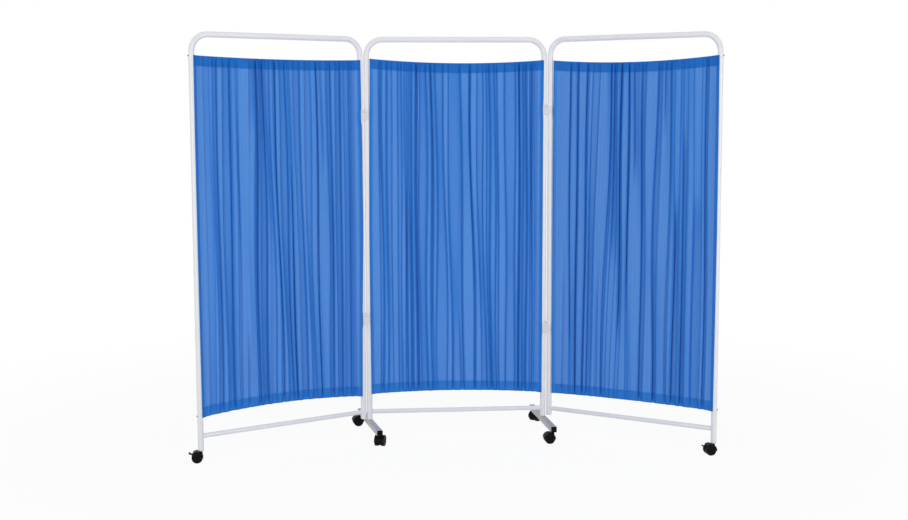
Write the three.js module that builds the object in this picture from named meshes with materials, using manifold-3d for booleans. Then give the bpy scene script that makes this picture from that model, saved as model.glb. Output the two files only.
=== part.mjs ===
import * as THREE from 'three';
import { mergeVertices } from 'three/addons/utils/BufferGeometryUtils.js';
import Module from 'manifold-3d';

// A folding ward screen on wheels: three bent-tube frames in a row, each hung with a gathered
// curtain on two cords. Clamps shaped like a figure eight join the posts, so that each wing
// swings round its own post and round the centre frame's post. The centre frame stands on two
// square-tube feet with a twin-wheel caster under each end, and each wing has one caster under
// its outer post. Lengths are in millimetres, +Z is up and the curtains face -Y.

const wasm = await Module();
wasm.setup();

// Frames
const overall_height = 1800;
const post_spacing = 795;
const tube_diameter = 25;
const tube_wall = 1.5;
const corner_radius = 72;
const rail_diameter = 20;
const rail_wall = 1.2;
const rail_height = 113;

// Joints between the frames. Drops are measured down from where the top bends start, and
// rises up from the lower rails.
const joint_spacing = 29;
const left_upper_clamp_drop = 260.5;
const left_lower_clamp_rise = 427;
const right_upper_clamp_drop = 239.5;
const right_lower_clamp_rise = 374;
const clamp_wall = 1.8;
const clamp_ring_height = 34;
const clamp_plate_width = 20;
const clamp_plate_height = 46;
const clamp_plate_corner = 7;
const clamp_plate_depth = 13.6;
const clamp_tongue_stop = 4;
const clamp_screw_rise = 13;
const screw_shank_diameter = 2.8;
const screw_head_diameter = 6.4;
const screw_head_height = 1.8;
const screw_reach = 12;

// Feet under the centre frame
const foot_length = 468;
const foot_size = 25;
const foot_wall = 1.5;
const foot_corner = 2;
const spigot_height = 40;
const plug_flange = 3;
const plug_insert_length = 38;
const wing_post_rise = 5;

// Casters
const mount_height = 52;
const wheel_diameter = 46;
const wheel_width = 15;
const wheel_shoulder = 2;
const wheel_dish_depth = 2;
const wheel_dish_radius = 17;
const caster_trail = 17;
const axle_diameter = 5.8;
const hood_wall = 2;
const hood_gap = 1;
const web_width = 13;
const stem_diameter = 8;
const stem_depth = 20;
const stem_rise = 20;
const stem_chamfer = 1;
const collar_thickness = 2.4;
const foot_collar_diameter = 16;
const sleeve_length = 34;
const sleeve_taper = 1.5;

// Brake levers on the wings' casters
const lever_pivot_radius = 15.5;
const lever_hub_diameter = 8.4;
const lever_pin_diameter = 3;
const lever_arm_thickness = 5;
const lever_arm_reach = 13;
const lever_pedal_reach = 23.5;
const lever_pedal_width = 22;
const lever_cheek = 1.9;
const lever_pocket_radius = 12;

// Curtains and their cords
const upper_cord_drop = 16;
const lower_cord_rise = 86;
const cord_diameter = 3;
const cord_stop_diameter = 8;
const cord_stop_length = 4;
const curtain_margin = 5;
const header_height = 46;
const hem_height = 38;
const hem_taper = 12;
const hem_thickness = 12;
const hem_fold_depth = 3;
const cloth_thickness = 3.2;
const fold_depth = 10.5;
const curtain_end_gap = 4;
const left_top_sag = 5;
const centre_top_sag = 18;
const right_top_sag = 17;
const left_bottom_arch = 19;
const centre_bottom_arch = 13;
const right_bottom_arch = 6;

// Fits: pieces that touch lie a hairline apart, and cutters run past what they cut.
const hairline = 0.3;
const running_clearance = 0.3;
const overrun = 5;

// Angles in degrees, as the screen stands in use
const left_fold_angle = 29.5;
const right_fold_angle = 36.2;
const left_foot_angle = 9.8;
const right_foot_angle = 4;
const left_outer_trail_angle = 186;
const left_front_trail_angle = 73;
const left_rear_trail_angle = 190;
const right_front_trail_angle = 184;
const right_rear_trail_angle = 41;
const right_outer_trail_angle = 186;
const hood_lead_angle = -8;
const hood_rear_angle = 172;
const braked_hood_rear_angle = 128;
const lever_pivot_angle = 145;
const lever_arm_angle = 155;
const lever_travel_angle = 12;
const lever_pocket_spread_angle = 40;

// Counts of flat faces and steps
const tube_side_count = 16;
const bore_side_count = 12;
const small_side_count = 8;
const corner_step_count = 6;
const cord_step_count = 6;
const wheel_side_count = 16;
const curtain_fold_count = 23;
const fold_variation_share = 0.45;
const fold_drift_share = 0.35;
const golden_turn_share = 0.382;

const tube_radius = tube_diameter / 2;
const post_x = post_spacing / 2;
const top_rail_height = overall_height - tube_radius;
const bend_start_height = top_rail_height - corner_radius;
const upper_cord_height = bend_start_height - upper_cord_drop;
const lower_cord_height = rail_height + lower_cord_rise;
const foot_top = mount_height + foot_size;
const wheel_radius = wheel_diameter / 2;
const hood_radius = wheel_radius + hood_gap + hood_wall;
const hood_top = mount_height - collar_thickness - 2 * hairline;
const curtain_half_width = post_x - tube_radius - curtain_end_gap;

const paint = { color: 0xeef0f4, roughness: 0.35, metalness: 0.1 };
const silver_paint = { color: 0xb4b7bd, roughness: 0.4, metalness: 0.6 };
const black_plastic = { color: 0x121316, roughness: 0.45, metalness: 0 };
const grey_plastic = { color: 0xd8d9d8, roughness: 0.5, metalness: 0 };
const steel = { color: 0xa6a9ae, roughness: 0.3, metalness: 1 };
const blue_cloth = { color: 0x3c78c6, roughness: 0.85, metalness: 0 };
const white_cord = { color: 0xe6e7ea, roughness: 0.7, metalness: 0 };

function radians(degrees) {
  return THREE.MathUtils.degToRad(degrees);
}

function toSolid(geometry) {
  const bare = geometry.clone();
  bare.deleteAttribute('normal');
  bare.deleteAttribute('uv');
  const merged = mergeVertices(bare);
  return new wasm.Manifold(new wasm.Mesh({
    numProp: 3,
    vertProperties: merged.attributes.position.array,
    triVerts: new Uint32Array(merged.index.array),
  }));
}

function toGeometry(solid) {
  const { vertProperties, triVerts } = solid.getMesh();
  const geometry = new THREE.BufferGeometry();
  geometry.setAttribute('position', new THREE.BufferAttribute(vertProperties, 3));
  geometry.setIndex(new THREE.BufferAttribute(triVerts, 1));
  geometry.computeVertexNormals();
  return geometry;
}

function join(...geometries) {
  return toGeometry(geometries.map(toSolid).reduce((whole, piece) => whole.add(piece)));
}

function cut(geometry, ...cutters) {
  const whole = toSolid(geometry);
  return toGeometry(cutters.map(toSolid).reduce((rest, cutter) => rest.subtract(cutter), whole));
}

function ringPoints(radius, sides) {
  return Array.from({ length: sides }, (_, side) => {
    const angle = (side / sides) * 2 * Math.PI;
    return new THREE.Vector2(radius * Math.cos(angle), radius * Math.sin(angle));
  });
}

// The corner radius of a many-sided cutter whose flats just clear a round of the given radius.
function clearRadius(radius, sides) {
  return radius / Math.cos(Math.PI / sides);
}

// A shape extruded along +Z between two heights, and round rods along each axis.
function prismZ(shape, from, to) {
  const options = { depth: to - from, bevelEnabled: false, curveSegments: 2 };
  return new THREE.ExtrudeGeometry(shape, options).translate(0, 0, from);
}

function rodZ(radius, from, to, sides) {
  return prismZ(new THREE.Shape(ringPoints(radius, sides)), from, to);
}

function rodX(radius, from, to, sides) {
  return rodZ(radius, from, to, sides).rotateY(Math.PI / 2);
}

function rodY(radius, from, to, sides) {
  return rodZ(radius, from, to, sides).rotateX(-Math.PI / 2);
}

function roundedRectangle(width, height, corner) {
  const x = width / 2 - corner;
  const y = height / 2 - corner;
  const shape = new THREE.Shape();
  shape.absarc(x, y, corner, 0, Math.PI / 2);
  shape.absarc(-x, y, corner, Math.PI / 2, Math.PI);
  shape.absarc(-x, -y, corner, Math.PI, 1.5 * Math.PI);
  shape.absarc(x, -y, corner, 1.5 * Math.PI, 2 * Math.PI);
  shape.closePath();
  return shape;
}

// A path given by stations, each with its own direction, so that straight runs need no steps.
class StationPath extends THREE.Curve {
  constructor(stations) {
    super();
    this.stations = stations;
  }

  stationAt(share) {
    return this.stations[Math.round(share * (this.stations.length - 1))];
  }

  getPoint(share, target = new THREE.Vector3()) {
    return target.copy(this.stationAt(share).point);
  }

  getPointAt(share, target) {
    return this.getPoint(share, target);
  }

  getTangentAt(share, target = new THREE.Vector3()) {
    return target.copy(this.stationAt(share).direction);
  }
}

function sweep(shape, stations) {
  const extrudePath = new StationPath(stations);
  return new THREE.ExtrudeGeometry(shape, { steps: stations.length - 1, extrudePath });
}

function station(x, z, slope_x, slope_z) {
  return {
    point: new THREE.Vector3(x, 0, z),
    direction: new THREE.Vector3(slope_x, 0, slope_z).normalize(),
  };
}

// One quarter bend at a top corner, from the angle given down to 90 degrees less.
function cornerStations(centre_x, from_angle) {
  return Array.from({ length: corner_step_count + 1 }, (_, step) => {
    const angle = radians(from_angle - (90 * step) / corner_step_count);
    const x = centre_x + corner_radius * Math.cos(angle);
    const z = bend_start_height + corner_radius * Math.sin(angle);
    return station(x, z, Math.sin(angle), -Math.cos(angle));
  });
}

function hollowRound(outer_radius, wall) {
  const shape = new THREE.Shape(ringPoints(outer_radius, tube_side_count));
  shape.holes.push(new THREE.Path(ringPoints(outer_radius - wall, bore_side_count)));
  return shape;
}

// A cross hole for a cord at one post: through both walls, or through the wall facing the curtain.
function cordHole(side, height, goes_through) {
  const near = side * (post_x - tube_radius - overrun);
  const far = goes_through ? side * (post_x + tube_radius + overrun) : side * post_x;
  const radius = cord_diameter / 2 + 2 * running_clearance;
  const hole = rodX(radius, Math.min(near, far), Math.max(near, far), small_side_count);
  return hole.translate(0, 0, height);
}

// An upside-down U of round tube, its two legs ending at their own heights.
function frameGeometry(left_end, right_end) {
  const tube = sweep(hollowRound(tube_radius, tube_wall), [
    station(-post_x, left_end.height, 0, 1),
    ...cornerStations(-post_x + corner_radius, 180),
    ...cornerStations(post_x - corner_radius, 90),
    station(post_x, right_end.height, 0, -1),
  ]);
  const holes = [upper_cord_height, lower_cord_height].flatMap((height) => [
    cordHole(-1, height, left_end.is_outer),
    cordHole(1, height, right_end.is_outer),
  ]);
  return cut(tube, ...holes);
}

// A straight tube between the posts, its ends saddled to fit round them.
function railGeometry() {
  const rail = prismZ(hollowRound(rail_diameter / 2, rail_wall), -post_x, post_x);
  const post = clearRadius(tube_radius + hairline, tube_side_count);
  const below = -rail_diameter;
  const above = rail_diameter;
  const saddles = [-post_x, post_x].map((x) => rodZ(post, below, above, tube_side_count).translate(x, 0, 0));
  return cut(rail.rotateY(Math.PI / 2), ...saddles).translate(0, 0, rail_height);
}

// The line of a cord or curtain edge: level at its ends, raised or lowered in the middle.
function edgeHeight(across_share, end_height, rise) {
  return end_height + rise * 4 * across_share * (1 - across_share);
}

function cordStations(from, to, height, rise) {
  const hung = Array.from({ length: cord_step_count + 1 }, (_, step) => {
    const share = step / cord_step_count;
    const x = curtain_half_width * (2 * share - 1);
    const slope = (rise * 4 * (1 - 2 * share)) / (2 * curtain_half_width);
    return station(x, edgeHeight(share, height, rise), 1, slope);
  });
  return [station(from, height, 1, 0), ...hung, station(to, height, 1, 0)];
}

// An end stop on a cord: outside an outer post, or drawn against the inside of an inner post.
function cordStop(side, is_outer, height) {
  const seat = is_outer ? tube_radius + hairline : -(tube_radius - tube_wall) + 4 * hairline;
  const start = post_x + seat;
  const low = side < 0 ? -start - cord_stop_length : start;
  const stop = rodX(cord_stop_diameter / 2, low, low + cord_stop_length, small_side_count);
  return { low, high: low + cord_stop_length, solid: stop.translate(0, 0, height) };
}

function cordGeometry(left_end, right_end, height, rise) {
  const left_stop = cordStop(-1, left_end.is_outer, height);
  const right_stop = cordStop(1, right_end.is_outer, height);
  const from = left_stop.low + cord_stop_length / 2;
  const to = right_stop.high - cord_stop_length / 2;
  const round = new THREE.Shape(ringPoints(cord_diameter / 2, small_side_count));
  return join(sweep(round, cordStations(from, to, height, rise)), left_stop.solid, right_stop.solid);
}

function cordTunnel(height, rise) {
  const radius = clearRadius(cord_diameter / 2 + running_clearance, small_side_count);
  const round = new THREE.Shape(ringPoints(radius, small_side_count));
  return sweep(round, cordStations(-post_x, post_x, height, rise));
}

// How far one fold line stands forward or back: neighbours alternate, and no two are alike.
function foldOffset(column, drift_share, seed_share) {
  const wave = Math.sin(2 * Math.PI * (column * golden_turn_share + drift_share + seed_share));
  const depth_share = 1 - fold_variation_share * (0.5 + 0.5 * wave);
  return (column % 2 ? 1 : -1) * depth_share;
}

// The rows of a curtain from its bottom edge up: double hem, single cloth, double header.
function curtainRows(bottom_arch, top_sag) {
  const bottom = (share) => edgeHeight(share, lower_cord_height - curtain_margin, bottom_arch);
  const top = (share) => edgeHeight(share, upper_cord_height + curtain_margin, -top_sag);
  const double = { half: hem_thickness / 2, depth: hem_fold_depth };
  const single = { half: cloth_thickness / 2, depth: fold_depth };
  return [
    { height: bottom, drift_share: 0, ...double },
    { height: (share) => bottom(share) + hem_height, drift_share: 0, ...double },
    { height: (share) => bottom(share) + hem_height + hem_taper, drift_share: 0, ...single },
    { height: (share) => (bottom(share) + top(share)) / 2, drift_share: fold_drift_share, ...single },
    { height: (share) => top(share) - header_height - hem_taper, drift_share: 0, ...single },
    { height: (share) => top(share) - header_height, drift_share: 0, ...double },
    { height: top, drift_share: 0, ...double },
  ];
}

// A hanging curtain with its main folds, closed, with a tunnel for the cord in each hem.
function curtainGeometry(bottom_arch, top_sag, seed_share) {
  const columns = 2 * curtain_fold_count;
  const rows = curtainRows(bottom_arch, top_sag);
  const positions = [];
  for (const row of rows) {
    for (let column = 0; column <= columns; column += 1) {
      const share = column / columns;
      const x = curtain_half_width * (2 * share - 1);
      const y = row.depth * foldOffset(column, row.drift_share, seed_share);
      positions.push(x, y - row.half, row.height(share), x, y + row.half, row.height(share));
    }
  }
  const front = (row, column) => 2 * (row * (columns + 1) + column);
  const back = (row, column) => front(row, column) + 1;
  const faces = [];
  const addFace = (a, b, c, d) => faces.push(a, b, c, a, c, d);
  const last_row = rows.length - 1;
  for (let column = 0; column < columns; column += 1) {
    const next = column + 1;
    for (let row = 0; row < last_row; row += 1) {
      addFace(front(row, column), front(row, next), front(row + 1, next), front(row + 1, column));
      addFace(back(row, column), back(row + 1, column), back(row + 1, next), back(row, next));
    }
    addFace(front(0, column), back(0, column), back(0, next), front(0, next));
    addFace(front(last_row, column), front(last_row, next), back(last_row, next), back(last_row, column));
  }
  for (let row = 0; row < last_row; row += 1) {
    const up = row + 1;
    addFace(front(row, 0), front(up, 0), back(up, 0), back(row, 0));
    addFace(front(row, columns), back(row, columns), back(up, columns), front(up, columns));
  }
  const cloth = new THREE.BufferGeometry();
  cloth.setAttribute('position', new THREE.Float32BufferAttribute(positions, 3));
  cloth.setIndex(faces);
  const tunnels = [cordTunnel(lower_cord_height, bottom_arch), cordTunnel(upper_cord_height, -top_sag)];
  return cut(cloth, ...tunnels);
}

// Half of a figure-eight clamp: two half rings with a raised plate in the valley between them.
function clampHalfGeometry() {
  const ring_radius = tube_radius + running_clearance + clamp_wall;
  const post_radius = clearRadius(tube_radius + running_clearance, tube_side_count);
  const ring_half = clamp_ring_height / 2;
  const plate_half = clamp_plate_height / 2;
  const posts = [-joint_spacing / 2, joint_spacing / 2];
  const ring = rodZ(ring_radius, -ring_half, ring_half, tube_side_count);
  const rings = posts.map((x) => ring.clone().translate(x, 0, 0));
  const plate_shape = roundedRectangle(clamp_plate_width, clamp_plate_height, clamp_plate_corner);
  const plate = prismZ(plate_shape, 0, clamp_plate_depth).rotateX(Math.PI / 2);
  const reach = joint_spacing + ring_radius;
  const other_half = new THREE.BoxGeometry(2 * reach, reach, clamp_plate_height + overrun);
  other_half.translate(0, reach / 2 - hairline, 0);
  const tongue_width = joint_spacing - tube_diameter + overrun;
  const tongue = new THREE.BoxGeometry(tongue_width, 2 * clamp_tongue_stop, clamp_plate_height + overrun);
  const bore_radius = screw_shank_diameter / 2 + running_clearance;
  const bore = rodY(bore_radius, -clamp_plate_depth - overrun, 0, small_side_count);
  const post_half = plate_half + overrun;
  const post = rodZ(post_radius, -post_half, post_half, tube_side_count);
  const cutters = posts.map((x) => post.clone().translate(x, 0, 0));
  return cut(join(...rings, plate), other_half, tongue, bore.translate(0, 0, clamp_screw_rise), ...cutters);
}

// A pan-head screw lying along +Y, its head seated on the front plate.
function screwGeometry() {
  const seat = -clamp_plate_depth - hairline;
  const profile = [
    [0, seat - screw_head_height],
    [(screw_head_diameter - screw_head_height) / 2, seat - screw_head_height],
    [screw_head_diameter / 2, seat - screw_head_height / 2],
    [screw_head_diameter / 2, seat],
    [screw_shank_diameter / 2, seat],
    [screw_shank_diameter / 2, screw_reach],
    [0, screw_reach],
  ].map(([radius, along]) => new THREE.Vector2(radius, along));
  return new THREE.LatheGeometry(profile, small_side_count).translate(0, 0, clamp_screw_rise);
}

// A square tube along Y with a round spigot that the frame's post slides over, and a hole
// under each end for a caster's stem.
function footGeometry() {
  const half_length = foot_length / 2 - plug_flange - hairline;
  const square = roundedRectangle(foot_size, foot_size, foot_corner);
  const inner = foot_size - 2 * foot_wall;
  square.holes.push(roundedRectangle(inner, inner, foot_corner / 2));
  const tube = prismZ(square, -half_length, half_length).rotateX(-Math.PI / 2);
  tube.translate(0, 0, mount_height + foot_size / 2);
  const inner_apothem = (tube_radius - tube_wall) * Math.cos(Math.PI / bore_side_count);
  const spigot_radius = inner_apothem - hairline;
  const spigot = rodZ(spigot_radius, foot_top - foot_wall, foot_top + spigot_height, bore_side_count);
  const stem_hole_radius = clearRadius(stem_diameter / 2 + hairline, bore_side_count);
  const hole_top = mount_height + 2 * foot_wall;
  const hole = rodZ(stem_hole_radius, mount_height - overrun, hole_top, bore_side_count);
  const holes = [-1, 1].map((end) => hole.clone().translate(0, end * stemPlace(), 0));
  return cut(join(tube, spigot), ...holes);
}

// How far from the post a foot's casters stand: at the middle of the plugs' inserts.
function stemPlace() {
  return foot_length / 2 - plug_flange - plug_insert_length / 2;
}

// A moulded plug for the foot's front end: a flange and an insert bored for the caster's stem.
function plugGeometry() {
  const middle = mount_height + foot_size / 2;
  const face = foot_length / 2;
  const flange_shape = roundedRectangle(foot_size, foot_size, foot_corner);
  const insert_size = foot_size - 2 * foot_wall - 2 * hairline;
  const insert_shape = roundedRectangle(insert_size, insert_size, foot_corner / 2);
  const flange = prismZ(flange_shape, face - plug_flange, face).rotateX(Math.PI / 2);
  const insert_end = face - plug_flange - plug_insert_length;
  const insert = prismZ(insert_shape, insert_end, face - plug_flange / 2).rotateX(Math.PI / 2);
  const bore_radius = clearRadius(stem_diameter / 2 + hairline, bore_side_count);
  const bore_top = mount_height + stem_rise + hairline;
  const bore = rodZ(bore_radius, mount_height - overrun, bore_top, bore_side_count);
  return cut(join(flange, insert).translate(0, 0, middle), bore.translate(0, -stemPlace(), 0));
}

// A turned caster stem: pin for the hood, collar under the tube, and what goes up inside it.
function stemGeometry(collar_radius, upper_radius, upper_length, taper) {
  const collar_low = mount_height - hairline - collar_thickness;
  const collar_high = mount_height - hairline;
  const pin_radius = stem_diameter / 2;
  const low = collar_low - stem_depth;
  const high = mount_height + upper_length;
  const profile = [
    [0, low],
    [pin_radius, low],
    [pin_radius, collar_low],
    [collar_radius, collar_low],
    [collar_radius, collar_high],
    [upper_radius, collar_high],
    [upper_radius, high - taper],
    [upper_radius - taper, high],
    [0, high],
  ].map(([radius, height]) => new THREE.Vector2(radius, height));
  return new THREE.LatheGeometry(profile, bore_side_count).rotateX(Math.PI / 2);
}

function footStemGeometry() {
  return stemGeometry(foot_collar_diameter / 2, stem_diameter / 2, stem_rise, stem_chamfer);
}

function postStemGeometry() {
  const inner_apothem = (tube_radius - tube_wall) * Math.cos(Math.PI / bore_side_count);
  return stemGeometry(tube_radius - hairline, inner_apothem - hairline, sleeve_length, sleeve_taper);
}

// A slice of a ring or disc round the axle, across the caster's width.
function axleSector(inner_radius, outer_radius, from_angle, to_angle, width) {
  const from = radians(from_angle);
  const to = radians(to_angle);
  const shape = new THREE.Shape();
  shape.absarc(0, 0, outer_radius, from, to, false);
  if (inner_radius > 0) {
    shape.absarc(0, 0, inner_radius, to, from, true);
  } else {
    shape.lineTo(0, 0);
  }
  shape.closePath();
  const options = { depth: width, bevelEnabled: false, curveSegments: 4 };
  const slice = new THREE.ExtrudeGeometry(shape, options).translate(0, 0, -width / 2);
  return slice.rotateX(Math.PI / 2);
}

// A caster's hood round its axle: fender, middle web, stem boss and the axle itself.
function hoodGeometry(is_braked) {
  const full_width = web_width + 2 * (hairline + wheel_width);
  const rear_angle = is_braked ? braked_hood_rear_angle : hood_rear_angle;
  const fender = axleSector(hood_radius - hood_wall, hood_radius, hood_lead_angle, rear_angle, full_width);
  const upper_web = axleSector(0, hood_radius - hood_wall / 2, hood_lead_angle, rear_angle, web_width);
  const disc_radius = lever_pivot_radius + lever_hub_diameter / 2 + hairline;
  const disc = rodY(disc_radius, -web_width / 2, web_width / 2, tube_side_count);
  const axle_end = full_width / 2 - wheel_dish_depth;
  const axle = rodY(axle_diameter / 2, -axle_end, axle_end, bore_side_count);
  const boss_radius = web_width / 2;
  const boss_top = hood_top - wheel_radius;
  const boss = rodZ(boss_radius, 0, boss_top, bore_side_count).translate(caster_trail, 0, 0);
  const bore_radius = clearRadius(stem_diameter / 2 + running_clearance / 2, bore_side_count);
  const bore_low = mount_height - 2 * hairline - collar_thickness - stem_depth - wheel_radius;
  const bore = rodZ(bore_radius, bore_low, boss_top + overrun, bore_side_count);
  bore.translate(caster_trail, 0, 0);
  const solid = cut(join(fender, upper_web, disc, axle, boss), bore);
  const finished = is_braked ? withLeverPocket(solid) : solid;
  return finished.translate(-caster_trail, 0, wheel_radius);
}

function leverPivot() {
  const angle = radians(lever_pivot_angle);
  return { x: lever_pivot_radius * Math.cos(angle), z: lever_pivot_radius * Math.sin(angle) };
}

// The slot between two cheeks that a brake lever turns in, with the pin that carries it.
function withLeverPocket(hood) {
  const { x, z } = leverPivot();
  const pocket_width = web_width - 2 * lever_cheek;
  const hub_radius = lever_hub_diameter / 2 + hairline;
  const low_angle = lever_arm_angle - lever_pocket_spread_angle;
  const high_angle = lever_arm_angle + lever_travel_angle + lever_pocket_spread_angle;
  const round = rodY(hub_radius, -pocket_width / 2, pocket_width / 2, bore_side_count);
  const opening = axleSector(0, lever_pocket_radius, low_angle, high_angle, pocket_width);
  const pin_half = web_width / 2 - lever_cheek / 2;
  const pin = rodY(lever_pin_diameter / 2, -pin_half, pin_half, small_side_count);
  return join(cut(hood, round.translate(x, 0, z), opening.translate(x, 0, z)), pin.translate(x, 0, z));
}

// A brake lever: a hub on the pin, an arm between the wheels and a pedal across them.
function leverGeometry() {
  const { x, z } = leverPivot();
  const arm_width = web_width - 2 * lever_cheek - 2 * running_clearance;
  const half_thickness = lever_arm_thickness / 2;
  const hub = rodY(lever_hub_diameter / 2, -arm_width / 2, arm_width / 2, bore_side_count);
  const arm = new THREE.BoxGeometry(lever_arm_reach, arm_width, lever_arm_thickness);
  arm.translate(lever_arm_reach / 2, 0, 0);
  const pedal_length = lever_pedal_reach - lever_arm_reach;
  const pedal_shape = roundedRectangle(pedal_length, lever_pedal_width, pedal_length / 4);
  const pedal = prismZ(pedal_shape, -half_thickness, half_thickness);
  pedal.translate(lever_arm_reach + pedal_length / 2 - hairline, 0, 0);
  const lever = join(arm, pedal).rotateY(-radians(lever_arm_angle));
  const bore_radius = clearRadius(lever_pin_diameter / 2 + running_clearance, small_side_count);
  const bore = rodY(bore_radius, -web_width, web_width, small_side_count);
  return cut(join(hub, lever), bore).translate(x - caster_trail, 0, z + wheel_radius);
}

// A wheel round the Y axis, its inner face at Y = 0 and its hollowed outer face towards +Y.
function wheelGeometry() {
  const bore_radius = clearRadius(axle_diameter / 2 + running_clearance / 2, wheel_side_count);
  const profile = [
    [bore_radius, 0],
    [wheel_radius, 0],
    [wheel_radius, wheel_width - wheel_shoulder],
    [wheel_radius - wheel_shoulder, wheel_width],
    [wheel_dish_radius, wheel_width],
    [bore_radius, wheel_width - wheel_dish_depth],
    [bore_radius, 0],
  ].map(([radius, along]) => new THREE.Vector2(radius, along));
  return new THREE.LatheGeometry(profile, wheel_side_count);
}

function addPiece(parent, name, geometry, finish) {
  const piece = new THREE.Mesh(geometry, new THREE.MeshStandardMaterial(finish));
  piece.name = name;
  parent.add(piece);
  return piece;
}

// One caster: its stem stays with the tube, and the rest trails behind it at its own angle.
function addCaster(parent, name, x, y, trail_angle, stem_geometry, is_braked) {
  const place = new THREE.Group();
  place.position.set(x, y, 0);
  parent.add(place);
  addPiece(place, `${name}_caster_stem`, stem_geometry, steel);
  const swivel = new THREE.Group();
  swivel.rotation.z = radians(trail_angle - 180);
  place.add(swivel);
  addPiece(swivel, `${name}_caster_hood`, hoodGeometry(is_braked), black_plastic);
  for (const [index, side] of [-1, 1].entries()) {
    const wheel = addPiece(swivel, `${name}_caster_wheel_${index + 1}`, wheelGeometry(), black_plastic);
    wheel.position.set(-caster_trail, side * (web_width / 2 + hairline), wheel_radius);
    wheel.rotation.x = side < 0 ? Math.PI : 0;
  }
  if (is_braked) {
    addPiece(swivel, `${name}_brake_lever`, leverGeometry(), black_plastic);
  }
}

function addPanel(parent, name, left_end, right_end, bottom_arch, top_sag, seed_share) {
  addPiece(parent, `${name}_frame`, frameGeometry(left_end, right_end), paint);
  addPiece(parent, `${name}_rail`, railGeometry(), paint);
  const lower_cord = cordGeometry(left_end, right_end, lower_cord_height, bottom_arch);
  const upper_cord = cordGeometry(left_end, right_end, upper_cord_height, -top_sag);
  addPiece(parent, `${name}_lower_cord`, lower_cord, white_cord);
  addPiece(parent, `${name}_upper_cord`, upper_cord, white_cord);
  addPiece(parent, `${name}_curtain`, curtainGeometry(bottom_arch, top_sag, seed_share), blue_cloth);
}

function addFoot(parent, side) {
  const foot = new THREE.Group();
  foot.position.x = side.sign * post_x;
  foot.rotation.z = radians(side.foot_angle);
  parent.add(foot);
  addPiece(foot, `${side.name}_foot`, footGeometry(), silver_paint);
  addPiece(foot, `${side.name}_foot_front_plug`, plugGeometry(), black_plastic);
  const rear_plug = addPiece(foot, `${side.name}_foot_rear_plug`, plugGeometry(), black_plastic);
  rear_plug.rotation.z = Math.PI;
  const front_turn = side.front_trail_angle - side.foot_angle;
  const rear_turn = side.rear_trail_angle - side.foot_angle;
  addCaster(foot, `${side.name}_front`, 0, -stemPlace(), front_turn, footStemGeometry(), false);
  addCaster(foot, `${side.name}_rear`, 0, stemPlace(), rear_turn, footStemGeometry(), false);
}

function addClamp(parent, name, height) {
  const clamp = new THREE.Group();
  clamp.position.z = height;
  parent.add(clamp);
  addPiece(clamp, `${name}_clamp_front`, clampHalfGeometry(), grey_plastic);
  addPiece(clamp, `${name}_clamp_back`, clampHalfGeometry(), grey_plastic).rotation.z = Math.PI;
  addPiece(clamp, `${name}_clamp_screw`, screwGeometry(), steel);
}

// A wing with its two clamps: the clamps take half of the fold and the wing takes the rest.
function addWing(parent, side) {
  const link = new THREE.Group();
  link.position.x = side.sign * post_x;
  link.rotation.z = (-side.sign * radians(side.fold_angle)) / 2;
  parent.add(link);
  const clamps = new THREE.Group();
  clamps.position.x = (side.sign * joint_spacing) / 2;
  link.add(clamps);
  addClamp(clamps, `${side.name}_upper`, bend_start_height - side.upper_clamp_drop);
  addClamp(clamps, `${side.name}_lower`, rail_height + side.lower_clamp_rise);
  const hinge = new THREE.Group();
  hinge.position.x = side.sign * joint_spacing;
  hinge.rotation.z = link.rotation.z;
  link.add(hinge);
  const wing = new THREE.Group();
  wing.position.x = side.sign * post_x;
  hinge.add(wing);
  const inner_end = { height: foot_top + wing_post_rise, is_outer: false };
  const outer_end = { height: mount_height, is_outer: true };
  const [left_end, right_end] = side.sign < 0 ? [outer_end, inner_end] : [inner_end, outer_end];
  addPanel(wing, side.name, left_end, right_end, side.bottom_arch, side.top_sag, side.seed_share);
  const trail_angle = side.outer_trail_angle + side.sign * side.fold_angle;
  addCaster(wing, `${side.name}_outer`, side.sign * post_x, 0, trail_angle, postStemGeometry(), true);
}

const sides = [
  {
    name: 'left',
    sign: -1,
    fold_angle: left_fold_angle,
    foot_angle: left_foot_angle,
    upper_clamp_drop: left_upper_clamp_drop,
    lower_clamp_rise: left_lower_clamp_rise,
    bottom_arch: left_bottom_arch,
    top_sag: left_top_sag,
    seed_share: 0.1,
    outer_trail_angle: left_outer_trail_angle,
    front_trail_angle: left_front_trail_angle,
    rear_trail_angle: left_rear_trail_angle,
  },
  {
    name: 'right',
    sign: 1,
    fold_angle: right_fold_angle,
    foot_angle: right_foot_angle,
    upper_clamp_drop: right_upper_clamp_drop,
    lower_clamp_rise: right_lower_clamp_rise,
    bottom_arch: right_bottom_arch,
    top_sag: right_top_sag,
    seed_share: 0.6,
    outer_trail_angle: right_outer_trail_angle,
    front_trail_angle: right_front_trail_angle,
    rear_trail_angle: right_rear_trail_angle,
  },
];

const screen = new THREE.Group();
const foot_end = { height: foot_top + hairline, is_outer: false };
addPanel(screen, 'centre', foot_end, foot_end, centre_bottom_arch, centre_top_sag, 0);
for (const side of sides) {
  addFoot(screen, side);
  addWing(screen, side);
}

// The origin lies on the floor under the middle of the whole screen as it stands.
const middle = new THREE.Box3().setFromObject(screen).getCenter(new THREE.Vector3());
screen.position.set(-middle.x, -middle.y, 0);

export default screen;
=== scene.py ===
import math

import bmesh
import bpy
import numpy as np
from mathutils import Matrix, Vector


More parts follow.
